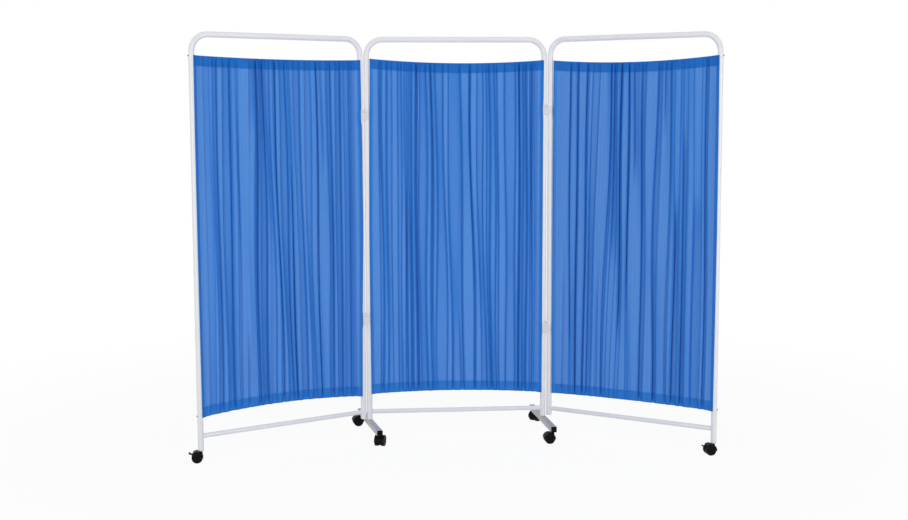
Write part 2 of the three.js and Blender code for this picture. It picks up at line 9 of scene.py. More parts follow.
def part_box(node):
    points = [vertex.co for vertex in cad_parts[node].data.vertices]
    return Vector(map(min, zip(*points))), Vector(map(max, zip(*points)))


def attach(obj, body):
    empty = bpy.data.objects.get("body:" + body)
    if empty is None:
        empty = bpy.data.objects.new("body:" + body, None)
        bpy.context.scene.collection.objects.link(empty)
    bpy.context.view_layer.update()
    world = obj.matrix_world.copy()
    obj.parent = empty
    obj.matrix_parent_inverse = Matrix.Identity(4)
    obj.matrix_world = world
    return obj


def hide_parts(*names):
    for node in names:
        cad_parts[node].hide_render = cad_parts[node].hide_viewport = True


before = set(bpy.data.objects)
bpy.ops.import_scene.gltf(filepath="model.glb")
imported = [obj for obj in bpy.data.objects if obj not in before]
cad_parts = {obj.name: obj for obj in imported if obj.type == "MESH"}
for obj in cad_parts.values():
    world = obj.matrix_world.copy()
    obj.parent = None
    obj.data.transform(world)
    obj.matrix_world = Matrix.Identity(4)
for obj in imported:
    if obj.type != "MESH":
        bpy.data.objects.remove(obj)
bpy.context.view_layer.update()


# The picture: a camera at about eye height, a little left of the middle, looking slightly down
# and to the right, as the screen is seen in the photograph.
camera_place = (-0.46189, -5.82276, 1.45847)
camera_heading = 4.757
camera_tilt = 6.277
camera_roll = -0.190
focal_length_in_widths = 1326.4 / 908
sensor_width = 36


def add_object(name, data):
    made = bpy.data.objects.new(name, data)
    bpy.context.scene.collection.objects.link(made)
    return made


camera_data = bpy.data.cameras.new("camera")
camera_data.sensor_width = sensor_width
camera_data.lens = sensor_width * focal_length_in_widths
camera = add_object("camera", camera_data)
camera_stand = Matrix.Translation(camera_place)
for degrees, axis in ((-camera_heading, "Z"), (90 - camera_tilt, "X"), (camera_roll, "Z")):
    camera_stand @= Matrix.Rotation(math.radians(degrees), 4, axis)
camera.matrix_world = camera_stand
bpy.context.scene.camera = camera
bpy.context.scene.view_settings.view_transform = "Standard"


# The studio: a pale floor that keeps the soft shadow of the screen, white to the eye all
# round, two large soft lights at the front corners and a weaker one overhead.
class Value:
    """A number, colour or vector that comes out of a node; numbers add up like any others."""

    def __init__(self, surface, socket):
        self.surface = surface
        self.socket = socket

    def maths(self, operation, first, second):
        return self.surface.node("ShaderNodeMath", {"operation": operation}, {0: first, 1: second})

    def __add__(self, other):
        return self.maths("ADD", self, other)

    __radd__ = __add__

    def __sub__(self, other):
        return self.maths("SUBTRACT", self, other)

    def __rsub__(self, other):
        return self.maths("SUBTRACT", other, self)

    def __mul__(self, other):
        return self.maths("MULTIPLY", self, other)

    __rmul__ = __mul__

    def sine(self):
        return self.maths("SINE", self, 0)

    def magnitude(self):
        return self.maths("ABSOLUTE", self, 0)


class Surface:
    """A material, or the world round the object, with its finish drawn in nodes."""

    def __init__(self, name, kind="materials"):
        self.owner = getattr(bpy.data, kind).new(name)
        self.owner.use_nodes = True
        self.tree = self.owner.node_tree

    def node(self, kind, settings, inputs, output=0):
        made = self.tree.nodes.new(kind)
        for name, setting in settings.items():
            if name == "stops":
                for stop, (place, shade) in zip(made.color_ramp.elements, setting):
                    stop.position = place
                    stop.color = shade
            else:
                setattr(made, name, setting)
        for key, value in inputs.items():
            if isinstance(value, Value):
                self.tree.links.new(value.socket, made.inputs[key])
            else:
                made.inputs[key].default_value = value
        return Value(self, made.outputs[output])

    def shade(self, **values):
        shader = self.tree.nodes["Principled BSDF"]
        for key, value in values.items():
            socket = shader.inputs[key.replace("_", " ")]
            if isinstance(value, Value):
                self.tree.links.new(value.socket, socket)
            else:
                socket.default_value = value
        return self.owner

    def place(self):
        return self.node("ShaderNodeTexCoord", {}, {}, "Object")

    def stretched(self, x, y, z, where=None):
        factors = {0: where or self.place(), 1: (x, y, z)}
        return self.node("ShaderNodeVectorMath", {"operation": "MULTIPLY"}, factors)

    def noise(self, scale, detail=2.0, roughness=0.5, where=None):
        inputs = {"Scale": scale, "Detail": detail, "Roughness": roughness}
        return self.node("ShaderNodeTexNoise", {}, {"Vector": where or self.place(), **inputs})

    def above_level(self, value, low, high):
        inputs = {"Value": value, "From Min": low, "From Max": high}
        return self.node("ShaderNodeMapRange", {"interpolation_type": "SMOOTHSTEP"}, inputs)

    def mixed(self, mask, first, second):
        colours = {0: mask, 6: first, 7: second}
        return self.node("ShaderNodeMix", {"data_type": "RGBA"}, colours, 2)

    def bump(self, height, strength, distance):
        return self.node(
            "ShaderNodeBump", {}, {"Height": height, "Strength": strength, "Distance": distance}
        )


def whitened(surface, lit, whiteness, kind, output):
    """White to the camera, straight, in a gloss or through a clear piece, and lit otherwise."""
    camera_ray = surface.node("ShaderNodeLightPath", {}, {}, "Is Camera Ray")
    glossy_ray = surface.node("ShaderNodeLightPath", {}, {}, "Is Glossy Ray")
    through_ray = surface.node("ShaderNodeLightPath", {}, {}, "Is Transmission Ray")
    seen = (camera_ray + glossy_ray + through_ray) * whiteness
    white = surface.node(kind, {}, {"Color": (1, 1, 1, 1), "Strength": 1.0})
    mix = surface.node("ShaderNodeMixShader", {}, {0: seen, 1: lit, 2: white})
    surface.tree.links.new(mix.socket, surface.tree.nodes[output].inputs["Surface"])


surround = Surface("studio_surround", "worlds")
bpy.context.scene.world = surround.owner
surround_glow = surround.node(
    "ShaderNodeBackground", {}, {"Color": (0.95, 0.97, 1.0, 1), "Strength": 0.5}
)
whitened(surround, surround_glow, 1.0, "ShaderNodeBackground", "World Output")

floor_mesh = bpy.data.meshes.new("studio_floor")
floor_reach = 30
floor_corners = ((-1, -1), (1, -1), (1, 1), (-1, 1))
floor_mesh.from_pydata(
    [(floor_reach * x, floor_reach * y, 0) for x, y in floor_corners], [], [(0, 1, 2, 3)]
)
floor = add_object("studio_floor", floor_mesh)
shadow_reach = 1.3
white_reach = 3.6
near_whiteness = 0.93
floor_surface = Surface("pale_floor")
floor_grain = floor_surface.noise(6.0)
floor_distance = floor_surface.node(
    "ShaderNodeVectorMath", {"operation": "LENGTH"}, {0: floor_surface.place()}, "Value"
)
floor_far = floor_surface.above_level(floor_distance, shadow_reach, white_reach)
floor_whiteness = near_whiteness + floor_far * (1 - near_whiteness)
floor_colour = floor_surface.mixed(floor_grain, (0.86, 0.87, 0.88, 1), (0.89, 0.89, 0.90, 1))
floor_surface.shade(Base_Color=floor_colour, Roughness=0.9)
floor_lit = Value(floor_surface, floor_surface.tree.nodes["Principled BSDF"].outputs[0])
whitened(floor_surface, floor_lit, floor_whiteness, "ShaderNodeEmission", "Material Output")
floor_mesh.materials.append(floor_surface.owner)


def add_light(name, place, aim, width, height, power, tint):
    light = bpy.data.lights.new(name, "AREA")
    light.shape = "RECTANGLE"
    light.size = width
    light.size_y = height
    light.energy = power
    light.color = tint
    lamp = add_object(name, light)
    lamp.location = place
    lamp.rotation_euler = (Vector(aim) - Vector(place)).to_track_quat("-Z", "Y").to_euler()


add_light("left_softbox", (-3.6, -4.4, 1.3), (0, 0, 0.9), 1.6, 2.4, 68, (1, 0.99, 0.97))
add_light("right_softbox", (3.9, -4.2, 1.3), (0, 0, 0.9), 1.6, 2.4, 68, (0.98, 0.99, 1))
add_light("overhead_softbox", (0, -0.8, 4.2), (0, 0, 0.8), 3.2, 2.2, 14, (1, 1, 1))


# Three frames of 25 mm steel tube, each bent into an upside-down U on a mandrel and drilled
# across for its two cords, then powder coated white with the lower rail already welded in.
def loft(rings, closes=False):
    """A skin over rings of points, run round from the last ring to the first or capped."""
    count = len(rings[0])
    points = [tuple(point) for ring in rings for point in ring]
    faces = []
    for index in range(len(rings) if closes else len(rings) - 1):
        here = index * count
        there = (index + 1) % len(rings) * count
        for step in range(count):
            after = (step + 1) % count
            faces.append((here + step, here + after, there + after, there + step))
    if not closes:
        faces.append(tuple(reversed(range(count))))
        faces.append(tuple(range(len(points) - count, len(points))))
    return points, faces


def solid(name, *skins, crease=38):
    """One mesh out of closed skins, smooth but for edges sharper than the crease angle."""
    points = []
    faces = []
    for skin_points, skin_faces in skins:
        first = len(points)
        points += skin_points
        faces += [tuple(first + corner for corner in face) for face in skin_faces]
    mesh = bpy.data.meshes.new(name)
    mesh.from_pydata(points, [], faces)
    shaped = bmesh.new()
    shaped.from_mesh(mesh)
    bmesh.ops.recalc_face_normals(shaped, faces=shaped.faces)
    shaped.to_mesh(mesh)
    shaped.free()
    mesh.shade_smooth()
    mesh.set_sharp_from_angle(angle=math.radians(crease))
    return mesh


def add_piece(name, mesh, finish, place, body, slot, *nodes):
    piece = add_object(name, mesh)
    if not mesh.materials:
        mesh.materials.append(finish.owner)
    piece.matrix_world = place
    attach(piece, body)
    if nodes:
        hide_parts(*nodes)
    return piece


def turned(degrees):
    return Matrix.Rotation(math.radians(degrees), 4, "Z")


def moved(x, y=0.0, z=0.0):
    return Matrix.Translation((x, y, z))


def circle(radius, sides):
    turns = [2 * math.pi * side / sides for side in range(sides)]
    return [(radius * math.cos(turn), radius * math.sin(turn)) for turn in turns]


def arc_angles(start, end, steps):
    """Evenly spaced angles in radians, for a start and an end in degrees."""
    return [math.radians(start + (end - start) * step / steps) for step in range(steps + 1)]


def rings_along(stations, radius, sides):
    """Rings across a line in the XZ plane, given by points and directions."""
    rings = []
    for (x, z), (run, climb) in stations:
        rings.append([(x - u * climb, v, z + u * run) for u, v in circle(radius, sides)])
    return rings


post_spacing = 0.795
post_x = post_spacing / 2
tube_radius = 0.0125
tube_wall = 0.0015
tube_inner_radius = tube_radius - tube_wall
corner_radius = 0.072
frame_height = 1.8
corner_centre_z = frame_height - tube_radius - corner_radius
foot_top = 0.077
caster_height = 0.052
hairline = 0.0003
inner_leg_lift = 0.005
centre_leg_bottom = foot_top + hairline
inner_leg_bottom = foot_top + inner_leg_lift
tube_sides = 40
corner_steps = 18

left_fold = 29.5
right_fold = 36.2
joint_spacing = 0.029
frame_low, frame_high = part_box("centre_frame")
frame_middle = (frame_low + frame_high) / 2
centre_place = moved(frame_middle.x, frame_middle.y)


def folded(sign, fold):
    """Where the clamps and the wing of one side stand, with half the fold at each post."""
    half_fold = turned(-sign * fold / 2)
    clamps = centre_place @ moved(sign * post_x) @ half_fold
    return clamps, clamps @ moved(sign * joint_spacing) @ half_fold @ moved(sign * post_x)


left_link_place, left_place = folded(-1, left_fold)
right_link_place, right_place = folded(1, right_fold)
panels = {
    "left": (left_place, "left_wing", caster_height, inner_leg_bottom),
    "centre": (centre_place, "centre", centre_leg_bottom, centre_leg_bottom),
    "right": (right_place, "right_wing", inner_leg_bottom, caster_height),
}

powder_coat = Surface("white_powder_coat")
coat_clouds = powder_coat.noise(3.0, 3.0)
coat_peel = powder_coat.noise(650.0, 1.0)
coat_streaks = powder_coat.noise(1.0, 4.0, 0.6, powder_coat.stretched(60, 60, 9))
coat_scuffs = powder_coat.above_level(coat_streaks, 0.66, 0.78)
coat_colour = powder_coat.mixed(coat_clouds, (0.83, 0.83, 0.85, 1), (0.88, 0.877, 0.89, 1))
coat_worn = powder_coat.mixed(coat_scuffs * 0.35, coat_colour, (0.55, 0.56, 0.58, 1))
powder_coat.shade(
    Base_Color=coat_worn,
    Roughness=0.30 + coat_clouds * 0.10 + coat_scuffs * 0.18,
    Coat_Weight=0.25,
    Coat_Roughness=0.12,
    Normal=powder_coat.bump(coat_peel, 0.12, 0.0004),
)


def bend(centre_x, from_angle):
    stations = []
    for angle in arc_angles(from_angle, from_angle - 90, corner_steps):
        x = centre_x + corner_radius * math.cos(angle)
        z = corner_centre_z + corner_radius * math.sin(angle)
        stations.append(((x, z), (math.sin(angle), -math.cos(angle))))
    return stations


for name, (place, body, left_bottom, right_bottom) in panels.items():
    run = [
        ((-post_x, left_bottom), (0, 1)),
        *bend(-post_x + corner_radius, 180),
        *bend(post_x - corner_radius, 90),
        ((post_x, right_bottom), (0, -1)),
    ]
    outside = rings_along(run, tube_radius, tube_sides)
    inside = rings_along(run, tube_inner_radius, tube_sides)
    tube = solid(f"{name}_bent_tube", loft(outside + inside[::-1], closes=True))
    add_piece(
        f"{name}_bent_tube", tube, powder_coat, place, body, "white_paint", f"{name}_frame"
    )


# The lower rail of each frame: a straight 20 mm tube, its ends cut to a saddle that fits the
# posts, with a bead of weld run round each end before the coating.
rail_radius = 0.010
rail_wall = 0.0012
rail_height = 0.113
weld_radius = 0.0016
weld_ripples = 26
weld_ripple_depth = 0.12


def saddle_ring(side, radius):
    ring = []
    for y, z in circle(radius, tube_sides):
        reach = post_x - math.sqrt((tube_radius + hairline) ** 2 - y ** 2)
        ring.append((side * reach, y, rail_height + z))
    return ring


def weld_bead(side):
    rings = []
    steps = 3 * weld_ripples
    for step in range(steps):
        angle = 2 * math.pi * step / steps
        y = rail_radius * math.cos(angle)
        z = rail_radius * math.sin(angle)
        reach = post_x - math.sqrt(tube_radius ** 2 - y ** 2)
        size = weld_radius * (1 + weld_ripple_depth * math.cos(angle * weld_ripples))
        ring = []
        for out, along in circle(size, 8):
            ring.append((
                side * (reach - along),
                y + out * math.cos(angle),
                rail_height + z + out * math.sin(angle),
            ))
        rings.append(ring)
    return loft(rings, closes=True)


for name, (place, body, *_) in panels.items():
    rail = solid(f"{name}_straight_tube", loft([
        saddle_ring(-1, rail_radius), saddle_ring(1, rail_radius),
        saddle_ring(1, rail_radius - rail_wall), saddle_ring(-1, rail_radius - rail_wall),
    ], closes=True))
    add_piece(
        f"{name}_straight_tube", rail, powder_coat, place, body, "white_paint",
        f"{name}_rail",
    )
    beads = solid(f"{name}_weld_beads", weld_bead(-1), weld_bead(1))
    add_piece(f"{name}_weld_beads", beads, powder_coat, place, body, "white_paint")


# Two cross feet of 25 mm square steel tube in silver-grey paint under the centre frame. Each
# has a round spigot that the post slides over, and its ends are shut by black plastic plugs.
silver_paint = Surface("silver_grey_paint")
silver_fleck = silver_paint.noise(1400.0, 1.0)
silver_clouds = silver_paint.noise(7.0, 3.0)
silver_lines = silver_paint.noise(1.0, 4.0, where=silver_paint.stretched(90, 90, 14))
silver_rubbed = silver_paint.above_level(silver_lines, 0.62, 0.76)
silver_colour = silver_paint.mixed(silver_clouds, (0.41, 0.41, 0.42, 1), (0.48, 0.48, 0.49, 1))
silver_paint.shade(
    Base_Color=silver_paint.mixed(silver_rubbed * 0.4, silver_colour, (0.24, 0.245, 0.26, 1)),
    Metallic=0.12 + silver_fleck * 0.2,
    Roughness=0.34 + silver_clouds * 0.12,
    Specular_IOR_Level=0.35,
    Normal=silver_paint.bump(silver_fleck, 0.08, 0.0003),
)
for side in ("left", "right"):
    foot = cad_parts[f"{side}_foot"]
    foot.data.materials.clear()
    foot.data.materials.append(silver_paint.owner)

black_moulding = Surface("black_moulding")
moulding_grain = black_moulding.noise(1800.0, 2.0)
moulding_dust = black_moulding.noise(40.0, 4.0, 0.6)
moulding_colour = black_moulding.mixed(
    black_moulding.above_level(moulding_dust, 0.5, 0.85), (0.003, 0.003, 0.004, 1),
    (0.011, 0.011, 0.012, 1),
)
black_moulding.shade(
    Base_Color=moulding_colour,
    Roughness=0.36 + moulding_dust * 0.22,
    Specular_IOR_Level=0.08,
    Normal=black_moulding.bump(moulding_grain, 0.15, 0.0002),
)

plug_size = 0.025
plug_corner = 0.002
plug_flange = 0.003
plug_insert = 0.0213
plug_insert_length = 0.038
foot_half_length = 0.234
foot_middle_z = 0.0645


def square_ring(size, corner, y, steps=5):
    """A ring across the foot's tube, a square with its corners rounded off."""
    points = []
    for quarter in range(4):
        middle = math.radians(45 + 90 * quarter)
        inset = (size / 2 - corner) * math.sqrt(2)
        for angle in arc_angles(90 * quarter, 90 * quarter + 90, steps):
            points.append((
                inset * math.cos(middle) + corner * math.cos(angle), y,
                inset * math.sin(middle) + corner * math.sin(angle),
            ))
    return points


plug_profile = [
    (plug_insert, 0.001, plug_flange + plug_insert_length), (plug_insert, 0.001, plug_flange),
    (plug_size, plug_corner, plug_flange), (plug_size, plug_corner, 0.0011),
    (plug_size - 0.0008, plug_corner, 0.0003), (plug_size - 0.0024, plug_corner, 0.0),
    (0.012, 0.004, 0.0), (0.008, 0.0035, 0.0004),
]
plug_mesh = solid("foot_plug", loft([square_ring(*row) for row in plug_profile]), crease=50)
foot_turns = {"left": 9.8, "right": 4.0}
foot_places = {
    side: centre_place @ moved(sign * post_x) @ turned(foot_turns[side])
    for side, sign in (("left", -1), ("right", 1))
}
for side, foot_place in foot_places.items():
    for end, turn in (("front", 0), ("rear", 180)):
        place = foot_place @ turned(turn) @ moved(0, -foot_half_length, foot_middle_z)
        add_piece(
            f"{side}_foot_{end}_end_plug", plug_mesh, black_moulding, place, "centre",
            "black_plastic", f"{side}_foot_{end}_plug",
        )


# Six twin-wheel casters in black nylon. A zinc-plated stem pushes up into the foot or the
# wing's post, and the hood snaps on under its collar and trails the two wheels on one axle.
wheel_radius = 0.023
wheel_width = 0.015
wheel_dish = 0.002
caster_trail = 0.017
axle_radius = 0.0029
web_width = 0.013
hood_radius = 0.026
hood_wall = 0.002
hood_width = web_width + 2 * (hairline + wheel_width)
hood_front = -8
hood_back = 172
braked_hood_back = 128
stem_radius = 0.004
stem_depth = 0.020
collar = 0.0024
foot_caster_distance = 0.212
round_sides = 48


def filleted(outline, radius, steps=4):
    """A closed outline with every corner rounded off."""
    points = []
    count = len(outline)
    for index, corner in enumerate(outline):
        here = Vector(corner)
        back = Vector(outline[index - 1]) - here
        on = Vector(outline[(index + 1) % count]) - here
        reach = min(radius, back.length * 0.45, on.length * 0.45)
        start = here + back.normalized() * reach
        end = here + on.normalized() * reach
        for step in range(steps + 1):
            share = step / steps
            points.append(tuple(
                start * (1 - share) ** 2 + here * 2 * share * (1 - share) + end * share ** 2
            ))
    return points


def rectangle(low, high, half_width):
    return [(low, -half_width), (high, -half_width), (high, half_width), (low, half_width)]


def spun(profile, closes=False):
    """A skin round the Y axis for a profile of radius and distance along it."""
    return loft([
        [(radius * u, along, radius * v) for u, v in circle(1.0, round_sides)]
        for radius, along in profile
    ], closes)


def pin(radius, half_length, chamfer):
    """A short round bar along the Y axis with both ends chamfered."""
    return spun([
        (radius - chamfer, -half_length), (radius, -half_length + chamfer),
        (radius, half_length - chamfer), (radius - chamfer, half_length),
    ])


def standing(profile, x=0.0, sides=round_sides, closes=False):
    """A skin round an upright axis at x for a profile of radius and height."""
    return loft([
        [(x + radius * u, radius * v, z) for u, v in circle(1.0, sides)] for radius, z in profile
    ], closes)


def arc_band(section, from_angle, to_angle, steps):
    """A section of radius and width swept round the axle between two angles."""
    return loft([
        [(r * math.cos(angle), w, r * math.sin(angle)) for r, w in section]
        for angle in arc_angles(from_angle, to_angle, steps)
    ])


def fan(radius, from_angle, to_angle, width, steps=28):
    """A slice of a disc round the axle with softened rims."""
    outline = [(0.0, 0.0)]
    for angle in arc_angles(from_angle, to_angle, steps):
        outline.append((radius * math.cos(angle), radius * math.sin(angle)))
    rings = []
    for share, along in ((0.985, -0.5), (1.0, -0.46), (1.0, 0.46), (0.985, 0.5)):
        rings.append([(x * share, along * width, z * share) for x, z in outline])
    return loft(rings)


def bar(outline, from_y, to_y):
    return loft([[(x, y, z) for x, z in outline] for y in (from_y, to_y)])


wheel_nylon = Surface("wheel_nylon")
nylon_dust = wheel_nylon.noise(120.0, 4.0, 0.65)
nylon_grain = wheel_nylon.noise(2200.0, 1.0)
nylon_scuffs = wheel_nylon.above_level(nylon_dust, 0.48, 0.75)
wheel_nylon.shade(
    Base_Color=wheel_nylon.mixed(nylon_scuffs, (0.003, 0.003, 0.004, 1), (0.013, 0.013, 0.013, 1)),
    Roughness=0.42 + nylon_scuffs * 0.3,
    Specular_IOR_Level=0.08,
    Normal=wheel_nylon.bump(nylon_grain, 0.2, 0.0002),
)

zinc_steel = Surface("zinc_plated_steel")
zinc_clouds = zinc_steel.noise(90.0, 3.0)
zinc_lines = zinc_steel.noise(60.0, 2.0, where=zinc_steel.stretched(1, 1, 30))
zinc_steel.shade(
    Base_Color=zinc_steel.mixed(zinc_clouds, (0.42, 0.43, 0.44, 1), (0.56, 0.56, 0.55, 1)),
    Metallic=1.0,
    Roughness=0.24 + zinc_clouds * 0.2,
    Normal=zinc_steel.bump(zinc_lines, 0.1, 0.0002),
)

bore = axle_radius + 0.0002
dish_face = wheel_width - 0.0016
hub_face = wheel_width - 0.0006
wheel_outline = filleted([
    (bore, 0.0), (wheel_radius, 0.0), (wheel_radius, wheel_width), (0.0175, wheel_width),
    (0.0160, dish_face), (0.0085, dish_face), (0.0080, hub_face), (0.0050, hub_face),
    (bore, wheel_width - wheel_dish),
], 0.0016)
wheel_mesh = solid("caster_wheel", spun(wheel_outline, closes=True))


def stem_mesh(name, collar_radius, upper_radius, upper_length, taper):
    high = caster_height + upper_length
    collar_high = caster_height - hairline
    collar_low = collar_high - collar
    return solid(name, standing([
        (stem_radius * 0.8, collar_low - stem_depth),
        (stem_radius, collar_low - stem_depth + 0.0008),
        (stem_radius, collar_low),
        (collar_radius - 0.0004, collar_low),
        (collar_radius, collar_low + 0.0004),
        (collar_radius, collar_high - 0.0004),
        (collar_radius - 0.0004, collar_high),
        (upper_radius, collar_high),
        (upper_radius, high - taper),
        (upper_radius - taper, high),
    ]))


foot_stem_mesh = stem_mesh("foot_caster_stem", 0.008, stem_radius, 0.020, 0.001)
sleeve_radius = tube_inner_radius * math.cos(math.pi / 12) - hairline
post_stem_mesh = stem_mesh(
    "post_caster_stem", tube_radius - hairline, sleeve_radius, 0.034, 0.0015
)

lever_pivot_radius = 0.0155
lever_pivot_angle = math.radians(145)
lever_arm_angle = 155
lever_pivot = Vector((
    lever_pivot_radius * math.cos(lever_pivot_angle), 0,
    lever_pivot_radius * math.sin(lever_pivot_angle),
))
lever_hub_radius = 0.0042
lever_cheek = 0.0019


def hood_mesh(name, back_angle):
    inner = hood_radius - hood_wall
    fender_section = filleted(rectangle(inner, hood_radius, hood_width / 2), 0.0009)
    web = fan(hood_radius - hood_wall / 2, hood_front, back_angle, web_width)
    disc = pin(lever_pivot_radius + lever_hub_radius + hairline, web_width / 2, 0.0006)
    axle = pin(axle_radius, hood_width / 2 - wheel_dish, 0.0005)
    hood_top = caster_height - collar - 0.0006 - wheel_radius
    boss_radius = web_width / 2
    bore_radius = stem_radius + 0.0002
    boss_outline = [
        (boss_radius, 0.0), (boss_radius, hood_top - 0.0006), (boss_radius - 0.0006, hood_top),
        (bore_radius, hood_top), (bore_radius, 0.0),
    ]
    boss = standing(boss_outline, caster_trail, 32, closes=True)
    fender = arc_band(fender_section, hood_front, back_angle, 40)
    mesh = solid(name, fender, web, disc, axle, boss)
    mesh.transform(moved(-caster_trail, 0, wheel_radius))
    return mesh


plain_hood_mesh = hood_mesh("plain_caster_hood", hood_back)
braked_hood_mesh = hood_mesh("braked_caster_hood", braked_hood_back)


def lever_mesh():
    """Hub, arm and a ribbed pedal that a foot presses."""
    arm_width = web_width - 2 * lever_cheek - 2 * hairline
    thickness = 0.005
    arm_reach = 0.013
    pedal_reach = 0.0235
    pedal_width = 0.022
    ribs = 4
    first_rib = 0.0022
    rib_pitch = 0.0021
    rib_inset = 0.0035
    hub = pin(lever_hub_radius, arm_width / 2, 0.0004)
    section = filleted(rectangle(-thickness / 2, thickness / 2, arm_width / 2), 0.0008)
    arm = loft([[(x, w, u) for u, w in section] for x in (0.002, arm_reach)])
    pedal_length = pedal_reach - arm_reach
    outline = filleted(
        rectangle(arm_reach - hairline, pedal_reach, pedal_width / 2), pedal_length / 3, 6
    )
    middle = Vector((arm_reach + pedal_length / 2, 0))
    slabs = []
    for share, height in ((0.94, -0.5), (1.0, -0.38), (1.0, 0.38), (0.94, 0.5)):
        slabs.append([
            (middle.x + (x - middle.x) * share, y * share, height * thickness) for x, y in outline
        ])
    skins = [hub, arm, loft(slabs)]
    face = thickness / 2
    reach = pedal_width / 2 - rib_inset
    for rib in range(ribs):
        x = arm_reach + first_rib + rib * rib_pitch
        rib_section = filleted([
            (x - 0.0005, face - 0.0004), (x + 0.0005, face - 0.0004),
            (x + 0.0004, face + 0.0005), (x - 0.0004, face + 0.0005),
        ], 0.0003, 2)
        skins.append(bar(rib_section, -reach, reach))
    mesh = solid("brake_lever", *skins)
    mesh.transform(Matrix.Rotation(-math.radians(lever_arm_angle), 4, "Y"))
    mesh.transform(Matrix.Translation(lever_pivot + Vector((-caster_trail, 0, wheel_radius))))
    return mesh


lever = lever_mesh()


def add_caster(name, place, trail_turn, stem, stem_body, hood):
    add_piece(
        f"{name}_stem_and_collar", stem, zinc_steel, place, stem_body, "steel",
        f"{name}_caster_stem",
    )
    swivel_place = place @ turned(trail_turn)
    add_piece(
        f"{name}_hood_and_axle", hood, black_moulding, swivel_place, f"{name}_swivel",
        "black_plastic", f"{name}_caster_hood",
    )
    for index, side in enumerate((-1, 1), start=1):
        flip = Matrix.Rotation(math.pi, 4, "X") if side < 0 else Matrix.Identity(4)
        offset = moved(-caster_trail, side * (web_width / 2 + hairline), wheel_radius)
        add_piece(
            f"{name}_wheel_{index}_moulding", wheel_mesh, wheel_nylon,
            swivel_place @ offset @ flip, f"{name}_wheel_{index}", "wheel_plastic",
            f"{name}_caster_wheel_{index}",
        )
    return swivel_place


foot_casters = (
    ("left", "front", -1, 73), ("left", "rear", 1, 190),
    ("right", "front", -1, 184), ("right", "rear", 1, 41),
)
for side, end, sign, trail in foot_casters:
    spot = foot_places[side] @ moved(0, sign * foot_caster_distance)
    turn = trail - 180 - foot_turns[side]
    add_caster(f"{side}_{end}", spot, turn, foot_stem_mesh, "centre", plain_hood_mesh)

outer_trail = 186
for side, sign, fold in (("left", -1, left_fold), ("right", 1, right_fold)):
    wing_place, wing_body, *_ = panels[side]
    turn = outer_trail - 180 + sign * fold
    swivel_place = add_caster(
        f"{side}_outer", wing_place @ moved(sign * post_x), turn, post_stem_mesh, wing_body,
        braked_hood_mesh,
    )
    add_piece(
        f"{side}_brake_pedal_lever", lever, black_moulding, swivel_place, f"{side}_brake",
        "black_plastic", f"{side}_outer_brake_lever",
    )


# Two clamps on each side join the posts. Each is a pair of grey nylon halves like a figure
# eight that close round both posts and are drawn together by one pan-head screw.
clamp_wall = 0.0018
clamp_bore = tube_radius + hairline
clamp_ring_radius = clamp_bore + clamp_wall
clamp_ring_half = 0.017
clamp_plate_width = 0.020
clamp_plate_height = 0.046
clamp_plate_corner = 0.007
clamp_plate_depth = 0.0136
clamp_tongue_stop = 0.004
clamp_screw_rise = 0.013
screw_hole_radius = 0.0017
cutter_reach = 0.04
hole_overrun = 0.005
clamp_heights = {"left": (1.455, 0.540), "right": (1.476, 0.487)}

grey_moulding = Surface("grey_moulding")
grey_clouds = grey_moulding.noise(55.0, 3.0)
grey_grain = grey_moulding.noise(1600.0, 2.0)
grey_moulding.shade(
    Base_Color=grey_moulding.mixed(grey_clouds, (0.73, 0.73, 0.72, 1), (0.81, 0.80, 0.775, 1)),
    Roughness=0.42 + grey_clouds * 0.15,
    Normal=grey_moulding.bump(grey_grain, 0.15, 0.0002),
)


def carved(name, first, steps):
    """A mesh after joining and cutting with others, one step at a time."""
    holder = add_object(name, first)
    others = []
    for operation, mesh in steps:
        other = add_object(mesh.name, mesh)
        others.append(other)
        step = holder.modifiers.new(operation, "BOOLEAN")
        step.operation = operation
        step.solver = "EXACT"
        step.object = other
    bpy.context.view_layer.update()
    shape = bpy.data.meshes.new_from_object(
        holder.evaluated_get(bpy.context.evaluated_depsgraph_get())
    )
    shape.name = name
    for used in [holder, *others]:
        bpy.data.objects.remove(used)
    shape.shade_smooth()
    shape.set_sharp_from_angle(angle=math.radians(35))
    return shape


def clamp_half_ring(x):
    section = filleted(rectangle(clamp_bore - 0.001, clamp_ring_radius, clamp_ring_half), 0.0009)
    return solid("clamp_ring", loft([
        [(x + r * math.cos(angle), r * math.sin(angle), z) for r, z in section]
        for angle in arc_angles(-179.2, -0.8, 32)
    ]))


def clamp_plate():
    half_width = clamp_plate_width / 2
    outline = filleted(
        rectangle(-half_width, half_width, clamp_plate_height / 2), clamp_plate_corner, 8
    )
    rings = []
    for inset, depth in (
        (0.0014, clamp_plate_depth), (0.0005, clamp_plate_depth - 0.0004),
        (0.0, clamp_plate_depth - 0.0014), (0.0, clamp_tongue_stop),
    ):
        across = 1 - 2 * inset / clamp_plate_width
        upright = 1 - 2 * inset / clamp_plate_height
        rings.append([(x * across, -depth, z * upright) for x, z in outline])
    return solid("clamp_plate", loft(rings))


def post_cutter(x):
    ends = [(clamp_bore, -cutter_reach), (clamp_bore, cutter_reach)]
    return solid("post_cutter", standing(ends, x, 64))


hole_outline = [(u, clamp_screw_rise + v) for u, v in circle(screw_hole_radius, 24)]
hole_start = -clamp_plate_depth - hole_overrun
screw_hole = solid("screw_hole", bar(hole_outline, hole_start, hole_overrun))
clamp_half_mesh = carved("clamp_half", clamp_half_ring(-joint_spacing / 2), [
    ("UNION", clamp_half_ring(joint_spacing / 2)),
    ("UNION", clamp_plate()),
    ("DIFFERENCE", post_cutter(-joint_spacing / 2)),
    ("DIFFERENCE", post_cutter(joint_spacing / 2)),
    ("DIFFERENCE", screw_hole),
])

